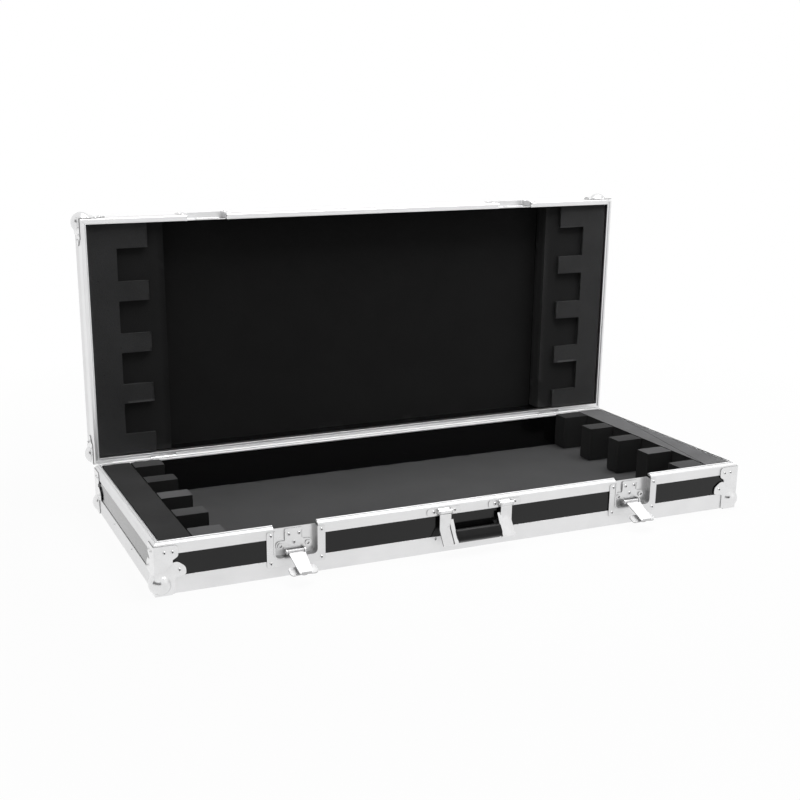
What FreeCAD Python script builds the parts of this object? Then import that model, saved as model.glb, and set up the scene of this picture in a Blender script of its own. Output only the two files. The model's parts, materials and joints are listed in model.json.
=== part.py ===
import FreeCAD, Part
import math
import os

# Flight case shown open: base tray, lid on two rear hinges, two recessed butterfly latches, a drop handle.
# Millimetres. X is the length, the front faces -Y, Z is up, z = 0 is the underside of the floor.

V = FreeCAD.Vector

# Overall sizes
case_length = 1150.0
case_depth = 466.0
base_height = 88.0
lid_height = 58.0
lid_open_deg = 90.0
quarter_turn_deg = 90.0
half_turn_deg = 180.0

# Fits and cutting
seam_gap = 0.4
body_gap = 0.3
run_fit = 0.05
cut_fit = 0.5
overrun = 6.0

# Panels and aluminium sections
sheet = 1.5
panel = 7.0
angle_leg = 30.0
angle_round = 1.2
front_rivet_out = 76.0
front_rivet_up = 25.4
end_rivet_out = 68.6
end_rivet_up = 22.4
rim_flange = 20.0
rim_head = 3.0
rim_inner = 2.0
rim_round = 5.0
lid_rim_head = 6.0
lid_rim_drop = 7.0
lid_rim_round = 2.5
rim_lip_round = 0.8
tongue_from = 5.6
tongue_wide = 2.6
tongue_tall = 2.5
tongue_round = 0.6
groove_fit = 0.7
groove_extra = 0.5

# Ball corners
ball_radius = 19.5
ball_inset = 9.8
ball_drop = 3.0
ball_flat = 0.3
petal_foot = 32.5
petal_neck = 28.0
petal_reach = 51.0
petal_ear_low = 31.0
petal_mid = 44.0
petal_shoulder = 36.0
petal_top = 56.0
petal_tail = 40.0
petal_round = 11.0
petal_ear_round = 4.0
petal_foot_round = 3.0
petal_rivet_out = 40.0
petal_rivet_up = 40.0
base_petal_share = 1.0
lid_petal_share = 0.8
under_leg = 27.0
under_round = 12.0

# Rim braces, heights measured from the mating plane
brace_reach = 39.0
brace_low = 24.5
brace_neck_out = 29.5
brace_neck = 30.0
brace_waist = 36.0
brace_tip_out = 17.0
brace_tip = 48.0
brace_tail = 51.0
brace_round = 7.0
brace_neck_round = 2.0
brace_tip_round = 5.0
brace_rivet_in = 16.0
brace_rivet_out = 29.5
brace_rivet_down = 16.5
base_brace_share = 1.0
lid_brace_share = 0.66

# Rivet heads
rivet_radius = 3.2
rivet_rise = 1.3

# Latch dishes, heights measured from the mating plane
latch_inset = 240.0
dish_sheet = 1.2
dish_wide = 104.0
dish_near = 6.5
dish_below = 15.0
dish_round = 4.0
recess_wide = 75.0
recess_share = 0.6193
recess_deep = 12.5
recess_round = 8.0
lip_wide = 2.5
lip_rise = 1.0
lid_dish_below = 10.0
lid_recess_share = 0.6207
lid_recess_deep = 9.3
lid_recess_round = 3.0
dish_rivet_out = 45.0
dish_rivet_edge = 7.0

# Latch bracket and bar
bar_in = 3.0
bar_lift = 7.5
bar_radius = 1.8
bar_over = 1.0
bracket_sheet = 2.0
bracket_wide = 33.0
bracket_drop = 4.0
bracket_near = 9.0
bracket_round = 3.0
ear_thick = 2.5
ear_radius = 4.5
rib_wide = 2.5
rib_low = 20.0
rib_near = 14.0
rib_rise = 1.2
lug_out = 24.5
lug_lift = 9.5
lug_radius = 8.0
eyelet_radius = 5.0
eyelet_rise = 2.0
eyelet_hole = 2.4
bracket_rivet_out = 9.0
bracket_rivet_high = 28.5
bracket_rivet_low = 14.0
rest_wide = 12.0
rest_out = 2.0

# Latch carrier, hook and wing, lengths measured along the carrier from the bar
latch_open_deg = 114.0
carrier_thick = 1.6
carrier_root_wide = 25.0
carrier_tip_wide = 19.0
carrier_short = 6.0
carrier_round = 6.0
knuckle_wide = 29.0
knuckle_radius = 3.6
hook_thick = 2.0
hook_root_wide = 29.0
hook_tip_wide = 23.0
hook_start = 8.0
hook_lock = 0.4
hook_bend = 1.8
hook_nose = 2.9
hook_round = 3.0
pocket_deep = 1.2
spindle_back = 14.5
spindle_radius = 4.0
boss_radius = 9.0
boss_rise = 3.0
cam_radius = 2.2
cam_throw = 1.5
cam_slack = 0.7
wing_thick = 2.0
wing_clear = 15.0
wing_root = 8.0
wing_end = 21.0
wing_round = 6.0
wing_ridge_radius = 9.5
wing_ridge_rise = 1.2

# Keeper in the lid dish
keeper_wide = 40.0
keeper_lift = 0.8
keeper_tall = 2.6
keeper_fit = 0.5
keeper_tab_wide = 6.0
keeper_tab_tall = 18.0

# Drop handle
handle_arm_out = 60.5
handle_pin_down = 12.0
handle_pin_radius = 2.5
handle_eye_radius = 4.5
handle_plate_wide = 66.0
handle_plate_tall = 13.0
handle_plate_round = 5.0
handle_lug_thick = 2.0
handle_rivet_out = 20.5
arm_wide = 22.0
arm_thick = 3.0
arm_upper = 32.0
arm_lower = 30.0
arm_bend_deg = 35.0
grip_tall = 24.0
grip_deep = 18.0
grip_round = 8.0
grip_back_round = 3.0
grip_at = 15.0
grip_short = 5.5
cheek_up = 16.0
cheek_from = 4.0
cheek_out = 6.0
cheek_hold = 2.0

# Hinges
hinge_inset = 135.0
hinge_wide = 50.0
hinge_back = 1.0
hinge_barrel = 3.5
hinge_pin_radius = 1.75
hinge_leaf = 2.0
hinge_leaf_tall = 26.0
hinge_leaf_start = 4.0
hinge_leaf_round = 4.0
hinge_lid_knuckle = 24.0
hinge_notch_in = 5.5
hinge_notch_tall = 6.0
hinge_rivet_out = 17.0
hinge_rivet_clear = 4.2
hinge_rivet_pitch = 8.5
stop_start = 4.4
stop_reach = 12.0
stop_thick = 2.0
stop_tall = 4.7

# Foam
foam_gap = 0.3
floor_foam_tall = 12.0
comb_rim_gap = 0.5
comb_root_in = 66.0
comb_tip_in = 125.0
comb_count = 4
comb_pitch_share = 0.2261
comb_notch_share = 0.1419
comb_proud = 2.0
lid_comb_recess = 5.0
lid_layer_recess = 13.0
lid_layer_in = 157.0
lid_pitch_share = 0.2225
lid_notch_share = 0.136
lid_comb_shift = 2.8
lining = 2.0

# Derived levels
front = -case_depth / 2
rear = case_depth / 2
left = -case_length / 2
wall_in = sheet + panel
rim_depth = wall_in + rim_inner
lid_base = base_height + seam_gap
case_top = lid_base + lid_height
seam_mid = base_height + seam_gap / 2
floor_top = panel
foam_top = floor_top + foam_gap + floor_foam_tall
foam_depth = case_depth / 2 - rim_depth - comb_rim_gap
comb_root = case_length / 2 - comb_root_in
comb_tip = case_length / 2 - comb_tip_in
lid_layer_edge = case_length / 2 - lid_layer_in
latch_offset = case_length / 2 - latch_inset
hinge_offset = case_length / 2 - hinge_inset
recess_far = base_height * recess_share
dish_far = recess_far + dish_below
lid_recess_far = lid_height * lid_recess_share
lid_dish_far = lid_recess_far + lid_dish_below
bar_height = base_height - recess_far + bar_lift
hook_travel = cam_throw + cam_throw
hook_end = lid_base + keeper_lift + keeper_tall + hook_lock + hook_travel + hook_bend - bar_height
carrier_long = hook_end - carrier_short
spindle_at = hook_end - spindle_back
wing_radius = spindle_at - wing_clear
handle_pin_height = base_height - handle_pin_down
arm_bend_height = handle_pin_height - arm_upper
pan_half = recess_wide / 2 + dish_sheet
hinge_y = rear + hinge_back
bar_y = front + bar_in
handle_pin_out = sheet + body_gap + handle_eye_radius
SIDES = {"front": (case_length, case_depth, 0), "rear": (case_length, case_depth, half_turn_deg),
         "left": (case_depth, case_length, -quarter_turn_deg),
         "right": (case_depth, case_length, quarter_turn_deg)}
HANDS = {"left": -1, "right": 1}


def block(x0, x1, y0, y1, z0, z1):
    return Part.makeBox(x1 - x0, y1 - y0, z1 - z0, V(x0, y0, z0))


def rod(start, direction, radius, length):
    return Part.makeCylinder(radius, length, start, direction)


def outline(corners, place):
    """Planar face from (u, v, rounding) corners; place turns u, v into a point in space."""
    ends = []
    count = len(corners)
    for i in range(count):
        u, v, r = corners[i]
        here = V(u, v, 0)
        back = V(corners[i - 1][0], corners[i - 1][1], 0) - here
        ahead = V(corners[(i + 1) % count][0], corners[(i + 1) % count][1], 0) - here
        back.normalize()
        ahead.normalize()
        if r > 0 and (back + ahead).Length > run_fit:
            half = back.getAngle(ahead) / 2
            inward = (back + ahead).normalize()
            middle = here + inward * (r / math.sin(half) - r)
            ends.append((here + back * (r / math.tan(half)), middle, here + ahead * (r / math.tan(half))))
        else:
            ends.append((here, None, here))
    edges = []
    for i in range(count):
        enter, middle, leave = [None if p is None else place(p.x, p.y) for p in ends[i]]
        last = place(ends[i - 1][2].x, ends[i - 1][2].y)
        if last.distanceToPoint(enter) > run_fit * run_fit:
            edges.append(Part.makeLine(last, enter))
        if middle:
            edges.append(Part.Arc(enter, middle, leave).toShape())
    return Part.Face(Part.Wire(edges))


def rect(u0, u1, v0, v1, low_round, high_round):
    return [(u0, v0, low_round), (u1, v0, low_round), (u1, v1, high_round), (u0, v1, high_round)]


def on_front(inset):
    """Places (x, z) on a plane parallel to the front face, inset behind it."""
    return lambda u, v: V(u, front + inset, v)


def front_slab(corners, inset_from, inset_to):
    return outline(corners, on_front(inset_from)).extrude(V(0, inset_to - inset_from, 0))


def mirror_x(shape):
    return shape.mirror(V(0, 0, 0), V(1, 0, 0))


def mirror_y(shape):
    return shape.mirror(V(0, 0, 0), V(0, 1, 0))


def four(shape):
    pair = [shape, mirror_x(shape)]
    return pair + [mirror_y(s) for s in pair]


def over_seam(shape):
    """The lid's copy of something on the base, mirrored in the seam."""
    return shape.mirror(V(0, 0, seam_mid), V(0, 0, 1))


def over_top(shape):
    """The lid's copy of something at the bottom, mirrored to the lid's top."""
    return shape.mirror(V(0, 0, case_top / 2), V(0, 0, 1))


def turned(shape, centre, axis, degrees):
    shape = shape.copy()
    shape.rotate(centre, axis, degrees)
    return shape


def open_lid(shape):
    return turned(shape, V(0, hinge_y, seam_mid), V(1, 0, 0), -lid_open_deg)


def open_latch(shape):
    return turned(shape, V(0, bar_y, bar_height), V(1, 0, 0), latch_open_deg)


def moved(shape, x):
    shape = shape.copy()
    shape.translate(V(x, 0, 0))
    return shape


def ring(corners, tall):
    """Four mitred lengths of one section; corners are (inset, z, rounding), tall is above the top."""
    made = {}
    for side, (run, span, turn) in SIDES.items():
        face = outline(corners, lambda u, v: V(-run / 2, -span / 2 + u, v))
        bar = face.extrude(V(run, 0, 0))
        reach = angle_leg + overrun
        ends = [(-run / 2, -span / 2, 0), (run / 2, -span / 2, 0),
                (run / 2 - reach, reach - span / 2, 0), (reach - run / 2, reach - span / 2, 0)]
        mitre = outline(ends, lambda u, v: V(u, v, -overrun)).extrude(V(0, 0, tall + overrun))
        made[side] = turned(bar.common(mitre), V(0, 0, 0), V(0, 0, 1), turn)
    return made


def dome(point, direction):
    ball = (rivet_radius * rivet_radius + rivet_rise * rivet_rise) / (rivet_rise + rivet_rise)
    head = Part.makeSphere(ball, V(0, 0, rivet_rise - ball))
    head = head.common(block(-ball, ball, -ball, ball, 0, rivet_rise + overrun))
    head.Placement = FreeCAD.Placement(point, FreeCAD.Rotation(V(0, 0, 1), direction))
    return head


def save(node, shapes):
    shape = shapes if hasattr(shapes, "exportStep") else Part.makeCompound(shapes)
    shape.exportStep("parts/" + node + ".step")


def floor_panel():
    inner = block(left + angle_leg, -left - angle_leg, front + angle_leg, rear - angle_leg, 0, panel)
    field = block(left + sheet, -left - sheet, front + sheet, rear - sheet, sheet, panel)
    return inner.fuse(field).removeSplitter()


def base_walls():
    top = base_height - rim_head
    return ring(rect(sheet, wall_in, panel, top, 0, 0), base_height)


def lid_walls():
    return ring(rect(sheet, wall_in, lid_base + lid_rim_head, case_top - panel, 0, 0), case_top)


def edge_angles():
    corners = [(0, 0, angle_round), (angle_leg, 0, 0), (angle_leg, sheet, 0), (sheet, sheet, 0),
               (sheet, angle_leg, 0), (0, angle_leg, 0)]
    return ring(corners, base_height)


def corner_angles():
    low = angle_leg
    high = base_height - rim_flange
    outer = block(left, left + angle_leg, front, front + angle_leg, low, high)
    piece = outer.cut(block(left + sheet, 0, front + sheet, 0, 0, base_height))
    return four(piece)


def base_rims():
    low = base_height - rim_flange
    under = base_height - rim_head
    up = base_height + tongue_tall
    to = tongue_from + tongue_wide
    return ring([(0, low, 0), (0, base_height, rim_round), (tongue_from, base_height, 0),
                 (tongue_from, up, tongue_round), (to, up, tongue_round), (to, base_height, 0),
                 (rim_depth, base_height, rim_lip_round), (rim_depth, under, 0), (sheet, under, 0),
                 (sheet, low, 0)],
                case_top)


def lid_rims():
    flange = case_top - angle_leg
    over = lid_base + lid_rim_head
    near = tongue_from - groove_fit
    to = tongue_from + tongue_wide + groove_fit
    roof = lid_base + tongue_tall + groove_extra
    return ring([(0, flange, 0), (0, lid_base, lid_rim_round), (near, lid_base, 0), (near, roof, 0),
                 (to, roof, 0),
                 (to, lid_base, 0), (rim_depth, lid_base, rim_lip_round), (rim_depth, over + lid_rim_drop, 0),
                 (wall_in, over + lid_rim_drop, 0), (wall_in, over, 0), (sheet, over, 0),
                 (sheet, flange, 0)], case_top)


def petal(tall_share, start):
    """Outline of a ball corner's leg: distance from the corner, height."""
    return [(start, 0, 0), (petal_foot, 0, petal_foot_round),
            (petal_foot, petal_neck * tall_share, petal_foot_round * tall_share),
            (petal_reach, petal_ear_low * tall_share, petal_ear_round * tall_share),
            (petal_reach, petal_mid * tall_share, petal_round * tall_share),
            (petal_shoulder, petal_top * tall_share, petal_round * tall_share),
            (start, petal_tail * tall_share, 0)]


def ball_corner(tall_share):
    height = ball_radius - ball_drop
    ball = Part.makeSphere(ball_radius, V(left + ball_inset, front + ball_inset, height))
    ball = ball.cut(block(left, 0, front, 0, 0, base_height))
    ball = ball.cut(block(left - case_depth, 0, front - case_depth, 0, -case_depth, ball_flat - ball_drop))
    facing = outline(petal(tall_share, -sheet), lambda u, v: V(left + u, front, v)).extrude(V(0, -sheet, 0))
    side = outline(petal(tall_share, 0), lambda u, v: V(left, front + u, v)).extrude(V(-sheet, 0, 0))
    under = [(-sheet, -sheet, 0), (under_leg, -sheet, 0), (under_leg, under_leg, under_round),
             (-sheet, under_leg, 0)]
    sole = outline(under, lambda u, v: V(left + u, front + v, -sheet)).extrude(V(0, 0, sheet))
    return ball.fuse([facing, side, sole])


def brace(tall_share):
    top = base_height - rim_round
    low = base_height - brace_low * tall_share
    neck = base_height - brace_neck * tall_share
    waist = base_height - brace_waist * tall_share
    tip = base_height - brace_tip * tall_share
    tail = base_height - brace_tail * tall_share

    def shape(start):
        return [(start, top, 0), (brace_reach, top, brace_round * tall_share),
                (brace_reach, low, brace_round * tall_share),
                (brace_neck_out, neck, brace_neck_round * tall_share),
                (brace_neck_out, waist, brace_neck_round * tall_share),
                (brace_tip_out, tip, brace_tip_round * tall_share), (start, tail, 0)]

    facing = outline(shape(-sheet), lambda u, v: V(left + u, front, v)).extrude(V(0, -sheet, 0))
    side = outline(shape(0), lambda u, v: V(left, front + u, v)).extrude(V(-sheet, 0, 0))
    return facing.fuse(side)


def brace_rivets(tall_share):
    height = base_height - brace_rivet_down * tall_share
    heads = []
    for out in (brace_rivet_in, brace_rivet_out):
        heads.append(dome(V(left + out, front - sheet, height), V(0, -1, 0)))
        heads.append(dome(V(left - sheet, front + out, height), V(-1, 0, 0)))
    return [r for head in heads for r in four(head)]


def petal_rivets(tall_share):
    height = petal_rivet_up * tall_share
    facing = dome(V(left + petal_rivet_out, front - sheet, height), V(0, -1, 0))
    side = dome(V(left - sheet, front + petal_rivet_out, height), V(-1, 0, 0))
    return four(facing) + four(side)


def angle_rivets():
    """Rivets along the bottom angles: two at the front beside the handle, two on each end."""
    facing = dome(V(front_rivet_out, front, front_rivet_up), V(0, -1, 0))
    end = dome(V(left, end_rivet_out, end_rivet_up), V(-1, 0, 0))
    return [facing, mirror_x(facing)] + four(end)


def dish(far, recess, deep, rounding):
    """Latch dish about x = 0 on the base side: face plate, raised lip and recessed pan."""
    top = base_height - dish_near
    low = base_height - recess
    half = dish_wide / 2
    face = front_slab(rect(-half, half, base_height - far, top, dish_round, dish_round), -dish_sheet, 0)
    pan = front_slab(rect(-pan_half, pan_half, low - dish_sheet, top, rounding + dish_sheet, 0),
                     -dish_sheet, deep + dish_sheet)
    lip_half = recess_wide / 2 + lip_wide
    lip = front_slab(rect(-lip_half, lip_half, low - lip_wide, top, rounding + lip_wide, 0),
                     -dish_sheet - lip_rise, -dish_sheet)
    hollow = front_slab(rect(-recess_wide / 2, recess_wide / 2, low, top + overrun, rounding, 0),
                        -overrun, deep)
    return face.fuse([pan, lip]).cut(hollow).removeSplitter()


def dish_cut(recess):
    """Opening that lets a dish pan through the wall, angle and rim."""
    half = pan_half + cut_fit
    low = base_height - recess - dish_sheet - cut_fit
    return block(-half, half, front - overrun, front + rim_depth + overrun, low, base_height + overrun)


def dish_rivets(far):
    heads = []
    for hand in HANDS.values():
        for height in (base_height - dish_near - dish_rivet_edge, base_height - far + dish_rivet_edge):
            heads.append(dome(V(hand * dish_rivet_out, front - dish_sheet, height), V(0, -1, 0)))
    return heads


def rest_block():
    """Stop on the pan floor that the open carrier lies on."""
    low = base_height - recess_far
    slope = math.radians(latch_open_deg) - math.pi / 2
    drop = (bar_in + rest_out) * math.tan(slope) + (carrier_thick / 2 + body_gap) / math.cos(slope)
    return block(-rest_wide / 2, rest_wide / 2, front - rest_out, front, low, bar_height - drop)


def latch_bracket():
    """Plate on the pan floor with two round lugs, a rib at each side and two ears that carry the bar."""
    half = bracket_wide / 2
    face = recess_deep - bracket_sheet
    top = base_height - bracket_near
    shape = front_slab(rect(-half, half, bar_height - bracket_drop, top, 0, bracket_round), face, recess_deep)
    middle = bar_height + lug_lift
    yoke = rect(-lug_out, lug_out, middle - lug_radius, middle + lug_radius, 0, 0)
    shape = shape.fuse(front_slab(yoke, face, recess_deep))
    for hand in HANDS.values():
        rib_at = hand * (half - rib_wide / 2)
        rib = rect(rib_at - rib_wide / 2, rib_at + rib_wide / 2,
                   bar_height + rib_low, base_height - rib_near, 0, 0)
        at = V(hand * lug_out, front + recess_deep, middle)
        near = knuckle_wide / 2 + cut_fit
        start = near if hand > 0 else -near - ear_thick
        ear = rod(V(start, bar_y, bar_height), V(1, 0, 0), ear_radius, ear_thick)
        foot = block(start, start + ear_thick, bar_y, front + face,
                     bar_height - ear_radius, bar_height + ear_radius)
        shape = shape.fuse([front_slab(rib, face - rib_rise, face),
                            rod(at, V(0, -1, 0), lug_radius, bracket_sheet),
                            rod(at, V(0, -1, 0), eyelet_radius, bracket_sheet + eyelet_rise), ear, foot])
        eye = V(hand * lug_out, front + face, middle)
        shape = shape.cut(rod(eye, V(0, -1, 0), eyelet_hole, eyelet_rise + overrun))
    hole = rod(V(-half - ear_thick, bar_y, bar_height), V(1, 0, 0), bar_radius + run_fit,
               bracket_wide + 2 * ear_thick)
    return shape.cut(hole).removeSplitter()


def bracket_rivets():
    face = front + recess_deep - bracket_sheet
    high = bar_height + bracket_rivet_high
    spots = [(-bracket_rivet_out, high), (bracket_rivet_out, high), (0, bar_height + bracket_rivet_low)]
    return [dome(V(x, face, z), V(0, -1, 0)) for x, z in spots]


def latch_bar():
    half = knuckle_wide / 2 + cut_fit + ear_thick + bar_over
    return rod(V(-half, bar_y, bar_height), V(1, 0, 0), bar_radius, half + half)


def tapered(root_wide, tip_wide, start, end, rounding, inset_from, inset_to):
    """Plate standing up from the closed bar, insets measured from the bar plane towards the case."""
    corners = [(-root_wide / 2, bar_height + start, 0), (root_wide / 2, bar_height + start, 0),
               (tip_wide / 2, bar_height + end, rounding), (-tip_wide / 2, bar_height + end, rounding)]
    return front_slab(corners, bar_in + inset_from, bar_in + inset_to)


def spindle_rod(radius, offset, inset_from, inset_to):
    start = V(0, bar_y + inset_from, bar_height + spindle_at + offset)
    return rod(start, V(0, 1, 0), radius, inset_to - inset_from)


def latch_carrier():
    half = carrier_thick / 2
    shape = tapered(carrier_root_wide, carrier_tip_wide, 0, carrier_long, carrier_round, -half, half)
    knuckle = rod(V(-knuckle_wide / 2, bar_y, bar_height), V(1, 0, 0), knuckle_radius, knuckle_wide)
    shape = shape.fuse([knuckle, spindle_rod(boss_radius, 0, -half - boss_rise, -half)])
    bore = rod(V(-knuckle_wide, bar_y, bar_height), V(1, 0, 0), bar_radius + run_fit, 2 * knuckle_wide)
    shape = shape.cut(bore)
    return shape.cut(spindle_rod(spindle_radius + run_fit, 0, -overrun - boss_rise, overrun)).removeSplitter()


def latch_hook():
    face = carrier_thick / 2 + body_gap
    back = face + hook_thick
    shape = tapered(hook_root_wide, hook_tip_wide, hook_start, hook_end, hook_round, face, back)
    nose = hook_tip_wide / 2 - hook_round
    tip = bar_height + hook_end
    shape = shape.fuse(block(-nose, nose, bar_y + face, bar_y + back + hook_nose, tip - hook_bend, tip))
    across = cam_radius + cam_throw + cam_slack
    along = cam_radius + cam_slack
    pocket_z = bar_height + spindle_at + cam_throw
    pocket = block(-across, across, bar_y, bar_y + face + pocket_deep, pocket_z - along, pocket_z + along)
    return shape.cut(pocket).removeSplitter()


def latch_wing():
    near = -carrier_thick / 2 - boss_rise - body_gap
    far = near - wing_thick
    z = bar_height + spindle_at
    tall = math.sqrt(wing_radius * wing_radius - wing_end * wing_end / 4)
    low = z - wing_end / 2
    high = z + wing_end / 2
    corners = [(-tall, low, wing_round), (0, z - wing_root, 0), (tall, low, wing_round),
               (tall, high, wing_round), (0, z + wing_root, 0), (-tall, high, wing_round)]
    shape = front_slab(corners, bar_in + far, bar_in + near)
    cam_to = carrier_thick / 2 + pocket_deep
    shape = shape.fuse([spindle_rod(wing_ridge_radius, 0, far - wing_ridge_rise, near),
                        spindle_rod(spindle_radius, 0, near, carrier_thick / 2),
                        spindle_rod(cam_radius, cam_throw, carrier_thick / 2, cam_to)])
    return shape.removeSplitter()


def keeper():
    """Bar in the lid dish that the hook closes over, drawn closed about x = 0."""
    half = keeper_wide / 2
    face = front + bar_in + carrier_thick / 2 + body_gap + hook_thick + keeper_fit
    back = front + lid_recess_deep
    low = lid_base + keeper_lift
    shape = block(-half, half, face, back, low, low + keeper_tall)
    for start in (-half, half - keeper_tab_wide):
        tab = block(start, start + keeper_tab_wide, back - dish_sheet, back, low, low + keeper_tab_tall)
        shape = shape.fuse(tab)
    return shape.removeSplitter()


def handle_bracket():
    half = handle_plate_wide / 2
    low = handle_pin_height - handle_plate_tall / 2
    high = handle_pin_height + handle_plate_tall / 2
    shape = front_slab(rect(-half, half, low, high, handle_plate_round, handle_plate_round), -sheet, 0)
    pin_y = front - handle_pin_out
    for hand in HANDS.values():
        near = arm_wide / 2 + cut_fit
        start = near if hand > 0 else -near - handle_lug_thick
        lug = rod(V(start, pin_y, handle_pin_height), V(1, 0, 0), handle_eye_radius, handle_lug_thick)
        foot = block(start, start + handle_lug_thick, pin_y, front - sheet,
                     handle_pin_height - handle_eye_radius, handle_pin_height + handle_eye_radius)
        shape = shape.fuse([lug, foot])
    hole = rod(V(-half, pin_y, handle_pin_height), V(1, 0, 0), handle_pin_radius + run_fit, handle_plate_wide)
    ahead = block(-half, half, front - case_depth, front - sheet, 0, base_height)
    return shape.cut(hole.common(ahead)).removeSplitter()


def handle_pin():
    half = arm_wide / 2 + cut_fit + handle_lug_thick
    end = V(-half, front - handle_pin_out, handle_pin_height)
    return rod(end, V(1, 0, 0), handle_pin_radius, half + half)


def handle_rivets():
    return [dome(V(hand * handle_rivet_out, front - sheet, handle_pin_height), V(0, -1, 0))
            for hand in HANDS.values()]


def arm_point(along, out):
    """Point on the handle's lower arm: distance past the bend, distance outward from its middle."""
    lean = math.radians(arm_bend_deg)
    inset = -handle_pin_out - along * math.sin(lean) - out * math.cos(lean)
    return inset, arm_bend_height - along * math.cos(lean) + out * math.sin(lean)


def handle_arm():
    """Left-hand arm about x = 0: eye, bent strip, and the inner cheek that the grip ends against."""
    half = arm_thick / 2
    mitre = half * math.tan(math.radians(arm_bend_deg) / 2)
    corners = [(half - handle_pin_out, handle_pin_height, 0),
               (half - handle_pin_out, arm_bend_height - mitre, 0)]
    corners += [arm_point(arm_lower, -half) + (half / 2,), arm_point(arm_lower, half) + (half / 2,)]
    corners += [(-half - handle_pin_out, arm_bend_height + mitre, 0),
                (-half - handle_pin_out, handle_pin_height, 0)]
    face = outline(corners, lambda u, v: V(-arm_wide / 2, front + u, v))
    inner = half - handle_pin_out
    cheek = [(inner, arm_bend_height + cheek_up, 0), (inner, arm_bend_height - mitre, 0)]
    cheek += [arm_point(arm_lower, -half) + (half / 2,), arm_point(arm_lower, cheek_out) + (half,)]
    cheek += [arm_point(cheek_from, cheek_out) + (half,)]
    cheek = outline(cheek, lambda u, v: V(arm_wide / 2 - cheek_hold, front + u, v))
    cheek = cheek.extrude(V(cheek_hold + grip_short, 0, 0))
    eye = rod(V(-arm_wide / 2, front - handle_pin_out, handle_pin_height), V(1, 0, 0),
              handle_eye_radius, arm_wide)
    hole = rod(V(-arm_wide, front - handle_pin_out, handle_pin_height), V(1, 0, 0),
               handle_pin_radius + run_fit,
               2 * arm_wide)
    return face.extrude(V(arm_wide, 0, 0)).fuse([eye, cheek]).cut(hole).removeSplitter()


def handle_grip():
    half = handle_arm_out - arm_wide / 2 - grip_short
    up = grip_at - grip_tall / 2
    down = grip_at + grip_tall / 2
    out = grip_deep / 2
    corners = [arm_point(up, -out) + (grip_back_round,), arm_point(down, -out) + (grip_back_round,),
               arm_point(down, out) + (grip_round,), arm_point(up, out) + (grip_round,)]
    return outline(corners, lambda u, v: V(-half, front + u, v)).extrude(V(half + half, 0, 0))


def hinge_leaf_plate():
    """Base leaf plate about x = 0 on the rear face, without knuckles."""
    half = hinge_wide / 2
    high = seam_mid - hinge_leaf_start
    corners = rect(-half, half, high - hinge_leaf_tall, high, hinge_leaf_round, 0)
    return outline(corners, lambda u, v: V(u, rear, v)).extrude(V(0, hinge_leaf, 0))


def knuckle(start, long):
    """Barrel length with the web that joins it to a base leaf."""
    web = block(start, start + long, rear, rear + hinge_leaf, seam_mid - hinge_leaf_start - run_fit, seam_mid)
    return rod(V(start, hinge_y, seam_mid), V(1, 0, 0), hinge_barrel, long).fuse(web)


def hinge_bore():
    return rod(V(-hinge_wide, hinge_y, seam_mid), V(1, 0, 0), hinge_pin_radius + run_fit, 2 * hinge_wide)


def base_leaf():
    side = (hinge_wide - hinge_lid_knuckle) / 2 - body_gap
    shape = hinge_leaf_plate().fuse([knuckle(-hinge_wide / 2, side), knuckle(hinge_wide / 2 - side, side)])
    return shape.cut(hinge_bore()).removeSplitter()


def lid_leaf():
    """Lid leaf drawn closed, with the heel that stops the lid upright against the base leaf."""
    half = hinge_wide / 2
    shape = over_seam(hinge_leaf_plate().fuse(knuckle(-hinge_lid_knuckle / 2, hinge_lid_knuckle)))
    face = seam_mid + hinge_leaf - hinge_back + body_gap
    shelf = block(-half, half, rear, hinge_y + stop_reach,
                  seam_mid + stop_tall, seam_mid + stop_tall + stop_thick)
    heel = block(-half, half, hinge_y + stop_start, hinge_y + stop_reach, face, seam_mid + stop_tall)
    return shape.fuse([shelf, heel]).cut(hinge_bore()).removeSplitter()


def hinge_pin():
    return rod(V(-hinge_wide / 2, hinge_y, seam_mid), V(1, 0, 0), hinge_pin_radius, hinge_wide)


def hinge_notch():
    half = hinge_wide / 2 + cut_fit
    return block(-half, half, rear - hinge_notch_in, rear + overrun,
                 seam_mid - hinge_notch_tall, seam_mid + hinge_notch_tall)


def hinge_rivets():
    heads = []
    near = stop_reach + hinge_rivet_clear
    for down in (near, near + hinge_rivet_pitch):
        for hand in HANDS.values():
            heads.append(dome(V(hand * hinge_rivet_out, rear + hinge_leaf, seam_mid - down), V(0, 1, 0)))
    return heads


def comb(low, high, pitch_share, notch_share, shift):
    """Right-hand comb block: a spine with teeth that hold bars apart."""
    shape = block(comb_tip, -left - rim_depth - comb_rim_gap, -foam_depth, foam_depth, low, high)
    pitch = pitch_share * (foam_depth + foam_depth)
    notch_wide = notch_share * (foam_depth + foam_depth)
    first = shift - pitch * (comb_count - 1) / 2
    for i in range(comb_count):
        near = first + i * pitch - notch_wide / 2
        notch = block(comb_tip - overrun, comb_root, near, near + notch_wide, low - overrun, high + overrun)
        shape = shape.cut(notch)
    return shape


def lid_layer():
    roof = case_top - panel - foam_gap
    low = lid_base + lid_layer_recess
    return block(lid_layer_edge, -left - rim_depth - comb_rim_gap, -foam_depth, foam_depth, low, roof)


def floor_foam():
    long = -left - wall_in - foam_gap
    wide = -front - wall_in - foam_gap
    return block(-long, long, -wide, wide, floor_top + foam_gap, foam_top)


def lid_lining():
    long = lid_layer_edge - foam_gap
    wide = -front - wall_in - foam_gap
    roof = case_top - panel - foam_gap
    return block(-long, long, -wide, wide, roof - lining, roof)


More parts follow.
